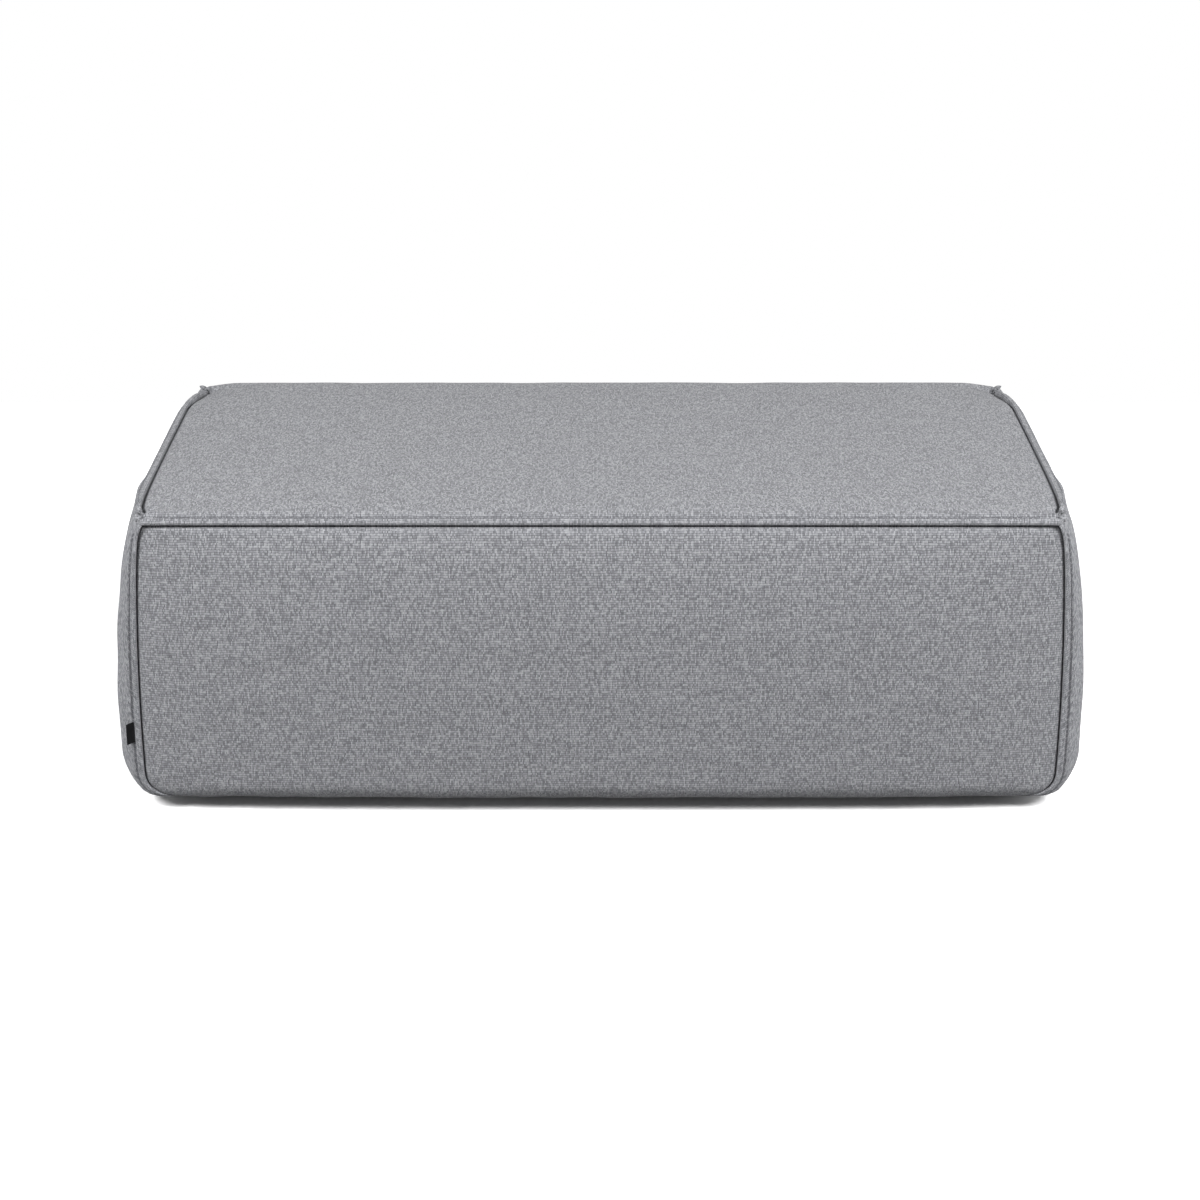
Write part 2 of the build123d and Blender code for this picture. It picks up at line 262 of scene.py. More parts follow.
class Finish(Nodes):
    # a material with one Principled shader: fixed holds what is the same all over
    def __init__(self, name, fixed):
        self.material = bpy.data.materials.new(name)
        super().__init__(self.material)
        self.shader = self.add("BsdfPrincipled", None, fixed)
        self.add("OutputMaterial", None, {0: self.shader})

    def place(self):
        return self.add("TexCoord", output="Object")

    def feed(self, links):
        for key, value in links.items():
            self.tree.links.new(value.out, self.shader.out.node.inputs[key])

    def paint(self, piece):
        piece.data.materials.clear()
        piece.data.materials.append(self.material)


def tone(r, g, b):
    # a colour as a screen shows it, 0 to 255, made linear
    def one(c):
        c = c / 255
        return c / 12.92 if c <= 0.04045 else ((c + 0.055) / 1.055) ** 2.4
    return (one(r), one(g), one(b), 1.0)


# metres, degrees down from level, and millimetres for the lens and sensor
view = dict(lens=76.5, sensor=36, pitch=22.05, place=(-0.0006, -3.100, 1.430), near=0.05, far=50)

cameraData = bpy.data.cameras.new("camera")
cameraData.sensor_width = view["sensor"]
cameraData.lens = view["lens"]
cameraData.clip_start, cameraData.clip_end = view["near"], view["far"]
camera = addPiece("camera", cameraData)
camera.location = view["place"]
camera.rotation_euler = (math.radians(90 - view["pitch"]), 0, 0)
bpy.context.scene.camera = camera
bpy.context.scene.view_settings.view_transform = "Standard"

studio = dict(
    sky=0.19,
    aim=(0, 0, 0.2),
    lamps=[      # place, size, watts
        ((-2.4, -1.8, 2.4), 1.1, 101),
        ((2.4, -1.8, 2.4), 1.1, 101),
        ((-3.0, -0.2, 1.0), 1.0, 6),
        ((3.0, -0.2, 1.0), 1.0, 17),
        ((0.0, 3.0, 1.8), 1.4, 15),
    ],
    floor=(2.2, -2.6, 1.4),     # half width, front edge, back edge
    floorShown=1.5,             # white to the camera wherever no shadow falls
    floorBounce=0.29,           # a mid grey to the light it bounces
)

white = (1, 1, 1, 1)
world = bpy.data.worlds.new("studio")
bpy.context.scene.world = world
sky = Nodes(world)
plain = sky.add("Background", None, {"Color": white, "Strength": studio["sky"]})
backdrop = sky.add("Background", None, {"Color": white, "Strength": 1.0})
toCamera = sky.add("LightPath", output="Is Camera Ray")
sky.add("OutputWorld", None, {0: sky.add("MixShader", None, {0: toCamera, 1: plain, 2: backdrop})})

for number, (place, size, watts) in enumerate(studio["lamps"]):
    lampData = bpy.data.lights.new("lamp%d" % number, "AREA")
    lampData.size, lampData.energy = size, watts
    lamp = addPiece("lamp%d" % number, lampData)
    lamp.location = place
    x, y, z = np.array(place) - np.array(studio["aim"])
    lamp.rotation_euler = (math.atan2(math.hypot(x, y), z), 0, math.atan2(x, -y))

ground = bpy.data.materials.new("floorPaper")
paper = Nodes(ground)
ray = paper.add("LightPath")
seen = ray.other("Is Glossy Ray").orElse(ray.other("Is Transmission Ray")).orElse(ray.other("Is Camera Ray"))
dull = paper.add("BsdfDiffuse", None, {"Color": (studio["floorBounce"],) * 3 + (1,)})
bright = paper.add("BsdfDiffuse", None, {"Color": (studio["floorShown"],) * 3 + (1,)})
paper.add("OutputMaterial", None, {0: paper.add("MixShader", None, {0: seen, 1: dull, 2: bright})})

half, front, back = studio["floor"]
floorMesh = bpy.data.meshes.new("floor")
floorCorners = [(-half, front, 0), (half, front, 0), (half, back, 0), (-half, back, 0)]
floorMesh.from_pydata(floorCorners, [], [(0, 1, 2, 3)])
floorMesh.materials.append(ground)
floor = addPiece("floor", floorMesh)
print("camera, lamps and floor set")


weave = dict(
    warp=1.55, weft=3.0,                # thread spacing across and down
    stray=0.7,                          # how far threads wander, in spacings
    dark=tone(112, 113, 117), mid=tone(150, 151, 155), light=tone(183, 184, 188),
)


def greyWeave():
    # warp-faced weave: the weft rises in one cell of three, along a diagonal, the warp in the others.
    # A cell's height is an arch across its thread times a flatter arch along it
    w = weave
    f = Finish("greyWeave", {"Roughness": 0.92, "Specular IOR Level": 0.15, "Sheen Weight": 0.12,
                             "Sheen Roughness": 0.5})
    uv = f.add("UVMap", {"uv_map": "weave"})
    wander = f.add("TexNoise", {"noise_dimensions": "2D"}, {"Vector": uv, "Scale": 60.0, "Detail": 1.0})
    stray = (wander - 0.5) * w["stray"]
    across, down, _ = f.split(uv)
    a = across * (1000 / w["warp"]) + stray
    b = down * (1000 / w["weft"]) + stray
    column, row = a.floor(), b.floor()
    archA, archB = (a.fraction() * math.pi).sine(), (b.fraction() * math.pi).sine()
    weftUp = (column + row) % 3.0 < 0.5
    # each thread has its own tone, which drifts along it, and each crossing a tone of its own
    warpAt = f.add("CombineXYZ", None, {0: column, 1: down * 120})
    weftAt = f.add("CombineXYZ", None, {0: across * 60, 1: row * 7.3, 2: 5.0})
    cellAt = f.add("CombineXYZ", None, {0: column, 1: row})
    warpTone, weftTone = f.noise(warpAt, 0.9, 2.0), f.noise(weftAt, 0.9, 2.0)
    cellTone = f.add("TexWhiteNoise", {"noise_dimensions": "2D"}, {"Vector": cellAt})
    threadTone = warpTone * (1 - weftUp) + (weftTone * 0.5 + 0.25) * weftUp
    warpHigh, weftHigh = archA ** 0.6 * (0.55 + 0.45 * archB), archB ** 0.6 * (0.55 + 0.45 * archA)
    height = warpHigh * (1 - weftUp) + weftHigh * weftUp
    slub = f.noise(uv, 260.0, 3.0)
    # the arches' height also goes into the colour, lighter on the threads' crowns and darker in the hollows
    # between them: painted shade
    value = (threadTone - 0.5) * 2.0 + (cellTone - 0.5) * 0.72 + (height - 0.72) * 1.1 + 0.5
    value = value + (slub - 0.5) * 0.5
    stops = [(0.0, w["dark"]), (0.5, w["mid"]), (1.0, w["light"])]
    f.feed({"Base Color": f.add("ValToRGB", {"stops": stops}, {0: value}),
            "Normal": f.bump(0.55, 0.0009, height + cellTone * 0.25 + slub * 0.4)})
    return f


greyCloth = greyWeave()
print("cloth finish made")


cover = dict(
    cloth=1.2,
    halfDepth=270,                                  # middle to the front seams
    seamHalfWidth=543, sideBow=10,                  # seam between top and side: at its ends, its bow
    sideSwell=13,                                   # a side's bow beyond its rounded corners
    foldTop=379.5, sideFold=391,                    # a side's top fold: at the corners, along the side
    foldReach=1.6, foldDrop=1.2, lipRise=0.6,       # rounding of a folded edge; its lip's height
    lipEnd=(-1, 2),                                 # where the lip ends at the groove, and its run
    topStitch=8.6, groove=2.4, grooveWidth=1.0,     # stitched groove, from the lip's edge
    puff=1.0, puffFrom=6.5, puffWidth=4.5,          # the padding's puff, from the groove
    unevenness=0.45, calmEdge=30.0,
)

# out from the middle by height: widest at a height, falling away by the square of the span's share,
# pulled in at the top, and turned in along a curve down to the foot
uprightSeam = dict(widest=562.3, height=100, span=278, fall=12.3, topPull=7,
                   lowFrom=59, lowSpan=41, foot=505, footReach=57)
cornerWall = dict(widest=586.4, height=100, span=288, fall=28.5, topPull=9.5,
                  lowFrom=75, lowSpan=57, foot=563, footReach=23.2)

# swells and pinches of a side's top lip near its ends: place along the side, reach, amount
lipEnds = [(-150, 28, 3.0), (-213, 15, -6.8), (203, 22, 2.6), (247, 9.5, -4)]

# amounts near the top corners; each pair is where an ease starts and its run
corners = dict(
    turn=9, turnFrom=(150, 85), turnTo=(243, 22), turnUp=(330, 55),     # a side's turn in at the back
    slope=6, slopeOut=(495, 58), slopeBack=(150, 90),                   # fall of the back corners
    pinch=3.5, pinchAt=246, pinchReach=9, bellsUp=(362, 18),
)


def seamOut(z):
    # how far out the upright seam stands at height z: squared off near the floor
    s = uprightSeam
    t = (z - s["height"]) / s["span"]
    upper = s["widest"] - s["fall"] * t ** 2 - s["topPull"] * np.abs(np.clip(t, -1, 1)) ** 24
    u = np.clip((s["lowFrom"] - z) / s["lowSpan"], 0, 1)
    low = s["foot"] + s["footReach"] * np.sqrt(1 - u ** 2.8)
    return np.where(z < s["lowFrom"], np.minimum(upper, low), upper)


def wallOut(z):
    # how far out the rounded corner reaches at height z, before the side's bow: near the floor it
    # cuts in more nearly along a slant than along an arc
    s = cornerWall
    t = (z - s["height"]) / s["span"]
    upper = s["widest"] - s["fall"] * t ** 2 - s["topPull"] * np.abs(t) ** 10
    u = np.clip((s["lowFrom"] - z) / s["lowSpan"], 0, 1)
    low = s["foot"] + s["footReach"] * (1 - u ** 1.85)
    return np.where(z < s["lowFrom"], np.minimum(upper, low), upper)


def backTurn(y):
    # how far the top edge of a side turns in before its back corner
    c = corners
    return c["turn"] * easeStep(y, *c["turnFrom"]) * (1 - easeStep(y, *c["turnTo"]))


def backSlope(x, y):
    # how far the back corners slope down
    c = corners
    return c["slope"] * easeStep(np.abs(x), *c["slopeOut"]) * easeStep(y, *c["slopeBack"])


def lipShift(y, z):
    # bells along the side's top lip, easing in upward, less the turn before the back corner
    bells = sum(amount * bell(y, place, reach) for place, reach, amount in lipEnds)
    return bells * easeStep(z, *corners["bellsUp"]) - backTurn(y) * easeStep(z, *corners["turnUp"])


def sideBowOut(y):
    # a side's outward bow: full in the middle, none at the front and back seams
    return cover["sideSwell"] * (1 - np.abs(y / cover["halfDepth"]) ** 6)


def topSeamOut(y):
    # the seam between the top and a side, seen from above
    bowed = 1 - np.clip(np.abs(y / cover["halfDepth"]), 0, 1) ** 10
    pinch = corners["pinch"] * bell(np.abs(y), corners["pinchAt"], corners["pinchReach"])
    return cover["seamHalfWidth"] + cover["sideBow"] * bowed - backTurn(y) - pinch


def quarterRoll(d, reach, depth):
    # height of a rounded edge at distance d from it: the arc of an ellipse
    return depth * np.sqrt(np.clip(1 - (1 - np.clip(d / reach, 0, 1)) ** 2, 0, 1))


def lipRelief(d):
    # height over the panel at distance d from a folded edge: rounded fold, flat lip, stitched
    # groove, and the padding's puff beyond it
    c = cover
    fold = quarterRoll(d, c["foldReach"], c["foldDrop"]) - c["foldDrop"]
    past = d - c["topStitch"]
    lip = c["lipRise"] * (1 - easeStep(past, *c["lipEnd"]))
    groove = -c["groove"] * bell(past, 0, c["grooveWidth"])
    puff = c["puff"] * bell(past, c["puffFrom"], c["puffWidth"])
    return fold + lip + groove + puff


# tucks where three seams meet, for the left front corner: two ends seen from above, width, depth,
# and the height above which they show
tucks = [
    ((-549, -246.5), (-562, -249), 3.0, 4.2, 383),      # notch that ends the side's lip
    ((-536, -243), (-546, -262), 3.4, 5.6, 376),        # slit in front of it
]


def crimp(grid, normals):
    # pushes the surface in along the tucks of all four corners, by a bell of the distance from each
    total = np.zeros(grid.shape[:2])
    for sx in (1, -1):
        for sy in (1, -1):
            flat = grid[:, :, :2] * np.array([sx, sy])
            for start, end, width, depth, low in tucks:
                a, b = np.array(start, float), np.array(end, float)
                along = np.clip(((flat - a) @ (b - a)) / ((b - a) @ (b - a)), 0, 1)
                away = np.linalg.norm(flat - a - along[:, :, None] * (b - a), axis=2)
                total -= depth * bell(away, 0, width) * easeStep(grid[:, :, 2], low, 3)
    return grid + normals * total[:, :, None]


def undulate(grid, normals, seed):
    # slow unevenness of the padding, fading out towards the panel's edges
    keep = cover["calmEdge"]
    along, down = runLength(grid, 1), runLength(grid, 0)
    edge = np.minimum.reduce([along, along[:, -1:] - along, down, down[-1:] - down])
    wave = ripple(along, down, seed) * cover["unevenness"] * easeStep(edge, keep / 2, keep)
    return grid + normals * wave[:, :, None]


def uvOf(grid):
    # distance walked from the middle column, and down each column
    along, down = runLength(grid, 1), runLength(grid, 0)
    middle = grid.shape[1] // 2
    return np.stack([along - along[:, middle:middle + 1], -down], axis=2)


def finishPanel(name, grid, outward, seed, flip=False):
    # the panel's unevenness and corner tucks, its inner face one cloth behind, and its mesh
    normals = gridNormals(grid) * outward
    uv = uvOf(grid)
    grid = crimp(undulate(grid, normals, seed), normals)
    inner = grid - gridNormals(grid) * outward * cover["cloth"]
    return grid, closedPiece(name, grid, inner, uv, flip)


def border(grid, top=None, left=(), right=()):
    # adds a tucked-in top row and side columns: each is a step from the edge before it
    if top is not None:
        grid = np.concatenate([grid[:1] + np.array(top), grid])
    for step in left:
        grid = np.concatenate([grid[:, :1] + np.array(step), grid], axis=1)
    for step in right:
        grid = np.concatenate([grid, grid[:, -1:] + np.array(step)], axis=1)
    return grid


frontPanel = dict(
    columns=190, rows=66,
    levels=(376.9, 364, 335, 52, 30),       # heights where the rows' spacing changes, from the top
    edge=260, sideGap=0.9,                  # the seams' depth; gap to the side's lip
    swell=24, fullest=204, riseSpan=176, fallSpan=150,
    roll=9, rollDepth=7, sideRoll=3,        # rounding at the edges
    lowRadius=27, cornerRadius=8, leastRadius=12.5,     # rounding under
    hemLevel=18, hem=220, tuck=5,
)


def frontSwell(s, z):
    # how far the front swells beyond its seams, at share s of its width and height z: the root of
    # 1 - s**4 across, fading upward from the fullest height and by the square below it
    p = frontPanel
    above = (1 - np.clip((z - p["fullest"]) / p["riseSpan"], 0, 1) ** 2.6) ** 0.6
    below = 1 - 0.15 * np.clip((p["fullest"] - z) / p["fallSpan"], 0, 1.3) ** 2
    return p["swell"] * np.sqrt(np.clip(1 - s ** 4, 0, 1)) * np.where(z > p["fullest"], above, below)


def lowRadius(s, corner):
    # radius of the rounding under: wide in the middle, tight at the corners
    return corner + (frontPanel["lowRadius"] - corner) * np.sqrt(np.clip(1 - np.abs(s) ** 8, 0, 1))


def turnUnder(z, radius):
    # how far the wall has turned under at height z: a quarter circle that ends at the hem
    low = np.clip((frontPanel["hemLevel"] + radius - z) / radius, 0, 1)
    return radius * (1 - np.sqrt(1 - low ** 2))


def frontGrid():
    # across: the share of the seam's width; down: wall, lower rounding, hem
    p = frontPanel
    s = bothSides(spread((0, 0.9, p["columns"] // 2), (0.9, 0.975, 16), (0.975, 1.0, 22)))
    top, second, third, fourth, last = p["levels"]
    wall = spread((top, second, 16), (second, third, 12), (third, fourth, p["rows"]), (fourth, last, 12))
    turn = spread((0, 1, 16))[1:]
    heights = np.concatenate([wall, last - (last - p["hemLevel"]) * np.sin(turn * math.pi / 2)])
    z, s = np.meshgrid(heights, s, indexing="ij")
    reach = seamOut(z) - p["sideGap"]
    fromSide = quarterRoll(reach * (1 - np.abs(s)), p["roll"], p["sideRoll"])
    fromSide = p["rollDepth"] - p["sideRoll"] + fromSide
    fromTop = quarterRoll(top - z, p["roll"] * 0.8, p["rollDepth"])
    radius = np.maximum(lowRadius(s, p["cornerRadius"]), p["leastRadius"])
    y = p["edge"] + np.minimum(fromSide, fromTop) + frontSwell(s, z) - turnUnder(z, radius)
    grid = np.stack([reach * s, -y, z], axis=2)
    hem = np.repeat(grid[-1:], 3, axis=0)
    hem[:, :, 1] = -(p["hem"] + (y[-1:] - p["hem"]) * np.array([[0.66], [0.33], [0.0]]))
    grid = np.concatenate([grid, hem])
    tuck = (0, p["tuck"], 0)
    return border(grid, (0, p["tuck"], 1.5), [(-1.3, 3, 0), tuck], [(1.3, 3, 0), tuck])


_, coverFront = finishPanel("coverFront", frontGrid(), 1, 4)
_, coverBack = finishPanel("coverBack", frontGrid() * np.array([-1, -1, 1]), 1, 9)
print("front and back panels made")


sidePanel = dict(
    columns=120, rows=64,
    straight=243, corner=28.5,                  # half of the straight part; depth of a rounded corner
    under=9,                                    # how far the edges tuck in
    wallTop=378, wallRise=10.5, backDrop=5,     # the wall's top at a corner, along the side, at the back
    dropFrom=(205, 45),                         # where its drop at the back starts, and its run
    lowFrom=62, turnFrom=30, hemLevel=18, cornerTurn=16,
    smoothing=5, smoothRows=(3, 60),            # the lip and upper wall, evened out
    uprightTo=(384, -8), levelFrom=(14, 12),    # where the upright lips and the top lip fade in
    hemOut=521, hemDeep=222, hemCorner=20, hemLift=1.4,
)


def sideGrid():
    # round the panel: front seam, rounded corner, side, corner, back seam; down: top fold, lip,
    # wall, lower rounding, hem
    p = sidePanel
    corner = math.radians(90) * spread((0, 0.3, 18), (0.3, 1.0, 18))
    straight = spread((-p["straight"], p["straight"], p["columns"]))[1:-1]
    theta = np.concatenate([corner, np.full(len(straight), math.pi / 2), math.pi - corner[::-1]])
    bend = p["straight"] + p["corner"] * np.cos(corner)
    ys = np.concatenate([-bend, straight, bend[::-1]])
    out = np.sin(theta)                                    # 0 at the seams, 1 along the side
    rise = easeStep(out * 1.15)
    drop = p["backDrop"] * easeStep(ys, *p["dropFrom"]) * rise
    foldZ = cover["foldTop"] + (cover["sideFold"] - cover["foldTop"]) * rise - drop
    fold = np.stack([topSeamOut(ys), ys, foldZ], axis=1)
    zTop = p["wallTop"] + p["wallRise"] * rise - drop
    down = spread((0, 0.1, 22), (0.1, 1, p["rows"]))
    zWall = zTop[None, :] + (p["lowFrom"] - zTop[None, :]) * down[:, None]
    turn = spread((0, 1, 22))[1:]
    zTurn = p["lowFrom"] - (p["lowFrom"] - p["hemLevel"]) * np.sin(turn * math.pi / 2)
    z = np.concatenate([zWall, np.repeat(zTurn[:, None], len(ys), axis=1)])
    seam = seamOut(z)
    low = np.clip((p["turnFrom"] - z) / (p["turnFrom"] - p["hemLevel"]), 0, 1)
    x = seam + (wallOut(z) - seam) * out ** (0.9 - 0.3 * low) + sideBowOut(ys) + lipShift(ys, z)
    y = ys[None, :] + p["cornerTurn"] * (1 - np.sqrt(1 - low ** 2)) * np.cos(theta)
    wall = np.stack([x, y, z], axis=2)
    share = spread((0, 1, 12))[:-1]
    lip = fold[None] + (wall[:1] - fold[None]) * share[:, None, None]
    grid = np.concatenate([lip, wall])
    rows = slice(*p["smoothRows"])
    grid[rows, 1:-1] = settle(grid, p["smoothing"])[rows, 1:-1]
    # lips, grooves and puff, by distance from the folded edges
    normals = gridNormals(grid)
    along, downRun = runLength(grid, 1), runLength(grid, 0)
    side = np.minimum(along, along[:, -1:] - along)
    upright = lipRelief(side) * easeStep(grid[:, :, 2], *p["uprightTo"])
    level = lipRelief(downRun) * easeStep(side, *p["levelFrom"])
    grid = grid + normals * (upright + level)[:, :, None]
    # the hem turns in under the frame, a little higher where it laps the front and back hems
    share = np.array([0.25, 0.5, 0.75, 1.0])[:, None]
    hem = np.repeat(grid[-1:], 4, axis=0)
    inward = np.minimum(hem[:, :, 0], p["hemOut"]) - p["hemCorner"] * (1 - out)
    hem[:, :, 0] += (inward - hem[:, :, 0]) * share
    hem[:, :, 1] += (np.clip(hem[:, :, 1], -p["hemDeep"], p["hemDeep"]) - hem[:, :, 1]) * share
    hem[:, :, 2] += p["hemLift"] * (1 - out) * share
    grid = np.concatenate([grid, hem])
    # the fold tucks in beside the top panel, hardly at all at the front and back ends
    sink = -p["under"] * (0.04 + 0.96 * easeStep(out, 0.3, 0.5))
    top = np.stack([0 * sink, 0 * sink, sink], axis=1)
    return border(grid, top, [(0, p["under"], 0)], [(0, -p["under"], 0)])


rightSurface, coverRight = finishPanel("coverRight", sideGrid(), 1, 21)
leftSurface, coverLeft = finishPanel("coverLeft", sideGrid() * np.array([-1, 1, 1]), -1, 33, flip=True)
print("side panels made")


topPanel = dict(
    columns=130, rows=72,
    past=4.5,                                           # how far the ends go on under the side lips
    dip=8.5, dipFrom=(262, -25),                        # fall of the crown towards the sides
    sideDrop=5.5, stepFrom=(251, -7), stepWidth=8,      # step down at the side lips
    cornerDrop=6.5, cornerFrom=(252, 8), cornerReach=12, cornerOut=0.5, cornerIn=3.2,
    stitch=22.6,                    # the front and back stitches, from the first row
    profile=[(-262, 378.2), (-267, 378.0), (-270.4, 378.9), (-271.8, 381.0), (-271.6, 383.2),
             (-270.0, 385.2), (-268.0, 386.8), (-266.8, 386.9), (-266.2, 384.2), (-265.0, 383.6),
             (-264.2, 387.6), (-262.6, 390.2), (-258, 392.0), (-250, 393.6), (-235, 395.4),
             (-210, 397.0), (-170, 398.6), (-110, 399.6), (0, 400.0)],      # y and z from fold to middle
)


def crownDip(x, y):
    # fall of the crown by the tenth power of the share of the width
    return topPanel["dip"] * np.clip(np.abs(x) / topSeamOut(y), 0, 1) ** 10


def topGrid():
    # rows from the front fold to the back fold; columns across, ending under the side lips
    p = topPanel
    s = bothSides(spread((0, 0.93, p["columns"] // 2), (0.93, 0.975, 12), (0.975, 1.0, 18)))
    profile = np.array(p["profile"])
    walked = lineRun(profile)
    fine = spread((0, 48, 64), (48, 80, 12), (80, walked[-1], p["rows"] // 2))
    line = np.stack([np.interp(fine, walked, profile[:, 0]), np.interp(fine, walked, profile[:, 1])], axis=1)
    line = settle(line, 1)
    line = np.concatenate([line, line[-2::-1] * np.array([-1, 1])])
    y, s = np.meshgrid(line[:, 0], s, indexing="ij")
    z = np.repeat(line[:, 1:], s.shape[1], axis=1)
    outer = topSeamOut(y)
    x = (outer + p["past"]) * s
    fromCrease = outer - np.abs(x)
    dip = crownDip(x, y)
    # near the corners the end rounds down and back onto the upright lip
    corner = easeStep(np.abs(y), *p["cornerFrom"])
    beyond = np.clip(1 - (fromCrease + p["past"]) / p["cornerDrop"], 0, 1)
    z = z - corner * p["cornerDrop"] * (1 - np.sqrt(1 - beyond ** 2))
    push = (p["cornerOut"] * easeStep(1 - fromCrease / p["cornerReach"])
            - p["cornerIn"] * easeStep(-fromCrease / p["past"]))
    y = y + np.sign(y) * corner * push
    crownPart, stepPart = easeStep(np.abs(y), *p["dipFrom"]), easeStep(np.abs(y), *p["stepFrom"])
    z = (z - crownPart * dip - backSlope(x, y)
         - stepPart * p["sideDrop"] * easeStep(1 - fromCrease / p["stepWidth"]))
    down = (0, 0, -4)
    return border(np.stack([x, y, z], axis=2), None, [down], [down])


topSurface, coverTop = finishPanel("coverTop", topGrid(), -1, 2, flip=True)
print("top panel made")

for piece, node in ((coverFront, "cover_front"), (coverBack, "cover_back"), (coverRight, "cover_right"),
                    (coverLeft, "cover_left"), (coverTop, "cover_top")):
    greyCloth.paint(piece)
    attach(piece, "root")
    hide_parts(node)


stitch = dict(
    pitch=6.4, length=4.6, radius=0.7, around=6,
    capsule=[(-1, 0), (-0.92, 0.6), (-0.7, 1), (0.7, 1), (0.92, 0.6), (1, 0)],      # along, wide
    sideLift=0.9, sideTopLift=0.2, topLift=2.6,     # over the groove
    upright=(2, 26, 372), sideTop=(1, -232, 232), top=(0, -528, 528),       # coordinate, from, to
)


def threadAndShadeFinish():
    # twisted thread: slanted stripes from the object's coordinates, lighter on the twist's ridges and darker
    # in its grooves, which is painted shade. Its tone, darker than the cloth's, is partly the thread's own
    # and partly painted shade for the dimples the stitches pull into the cloth
    f = Finish("thread", {"Roughness": 0.8, "Specular IOR Level": 0.2})
    across, _, up = f.split(f.place())
    twist = ((across + up) * 9000.0).sine()
    f.feed({"Base Color": f.mix(twist * 0.5 + 0.5, tone(86, 87, 92), tone(138, 139, 144)),
            "Normal": f.bump(0.4, 0.0003, twist)})
    return f


def stitchRow(name, path, normals, lift):
    # short capsules every pitch along a path: rings of points round the path's direction
    s = stitch
    walked = lineRun(path)
    places = np.arange(s["pitch"], walked[-1] - s["pitch"], s["pitch"])

    def at(d, what):
        return np.stack([np.interp(d, walked, what[:, k]) for k in range(3)], axis=1)

    middle, up = at(places, path), at(places, normals)
    ahead = at(places + 1, path) - at(places - 1, path)
    ahead /= np.linalg.norm(ahead, axis=1, keepdims=True)
    across = np.cross(ahead, up)
    across /= np.linalg.norm(across, axis=1, keepdims=True)
    up = np.cross(across, ahead)
    turn = (np.arange(s["around"]) * 2 * math.pi / s["around"])[None, :, None]
    ring = np.cos(turn) * up[:, None] + np.sin(turn) * across[:, None]
    points = []
    for share, wide in s["capsule"]:
        spot = (middle + ahead * share * s["length"] / 2 + up * lift)[:, None]
        points.append(spot + ring * s["radius"] * wide if wide else spot)
    points = np.concatenate(points, axis=1)
    caps, sides = capsuleFaces(len(s["capsule"]) - 2, s["around"])
    first = (np.arange(len(places)) * points.shape[1])[:, None, None]
    faces = (caps + first).reshape(-1, 3).tolist() + (sides + first).reshape(-1, 4).tolist()
    return facedPiece(name, points.reshape(-1, 3), faces)


def lineAt(surface, outward, axis, distance, keep):
    # the line at a distance from a folded edge, along each row (axis 1) or column (axis 0), where a
    # coordinate lies between two limits, and the outward directions there
    normals = gridNormals(surface) * outward
    run = runLength(surface, axis)
    if axis == 0:
        surface, normals, run = surface.transpose(1, 0, 2), normals.transpose(1, 0, 2), run.T

    def at(what):
        return np.array([[np.interp(distance, run[r], what[r, :, k]) for k in range(3)]
                         for r in range(len(run))])

    path, up = at(surface), at(normals)
    coordinate, low, high = keep
    good = (path[:, coordinate] > low) & (path[:, coordinate] < high)
    return path[good], up[good]


threads = []
edge = cover["topStitch"] + sidePanel["under"]
for name, surface, outward in (("Left", leftSurface, -1), ("Right", rightSurface, 1)):
    for end, grid, way in (("Front", surface, outward), ("Back", surface[:, ::-1], -outward)):
        line = lineAt(grid, way, 1, edge, stitch["upright"])
        threads.append(stitchRow("thread" + name + end, *line, stitch["sideLift"]))
    line = lineAt(surface, outward, 0, edge, stitch["sideTop"])
    threads.append(stitchRow("thread" + name + "Top", *line, stitch["sideTopLift"]))
for name, surface, outward in (("Front", topSurface, -1), ("Back", topSurface[::-1], 1)):
    line = lineAt(surface[:, 1:-1], outward, 0, topPanel["stitch"], stitch["top"])
    threads.append(stitchRow("threadTop" + name, *line, stitch["topLift"]))
thread = threadAndShadeFinish()
for piece in threads:
    thread.paint(piece)
    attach(piece, "root")
print("stitches made:", len(threads), "rows")


label = dict(low=96.5, high=123.3, length=10.0, thick=0.9, lean=(-7.6, -2.2, -1.5), stand=0.5,
             shift=(-0.7, -0.3, 0), droop=1.0)


def makeLabel():
    # a folded ribbon, its cut edges in the left front lip's groove: two faces joined round a loop
    # end, which is a little thicker than the caught end
    p = label
    path, _ = lineAt(leftSurface, -1, 1, edge, stitch["upright"])
    path = path[np.argsort(path[:, 2])]
    z = spread((p["low"], p["high"], 20))
    root = np.stack([np.interp(z, path[:, 2], path[:, k]) for k in range(3)], axis=1)
    share = spread((0, 1, 16))
    lean = np.array(p["lean"]) / np.linalg.norm(p["lean"])
    out = np.array([lean[1], -lean[0], 0.0])
    out = out / np.linalg.norm(out) * (-1 if out[1] > 0 else 1)
    stem = lean * share[None, :, None] * p["length"]
    middle = root[:, None] + stem + out * p["stand"] + np.array(p["shift"])
    middle = middle - np.array([0, 0, p["droop"]]) * (share ** 2)[None, :, None]
    half = p["thick"] / 2 * (0.7 + 0.7 * easeStep(share * 1.6)) * np.sqrt(np.clip(1 - share ** 12, 0, 1))
    front = middle + out * half[None, :, None]
    back = middle - out * half[None, :, None]
    return closedPiece("sideLabel", front, back, uvOf(front), flip=True)


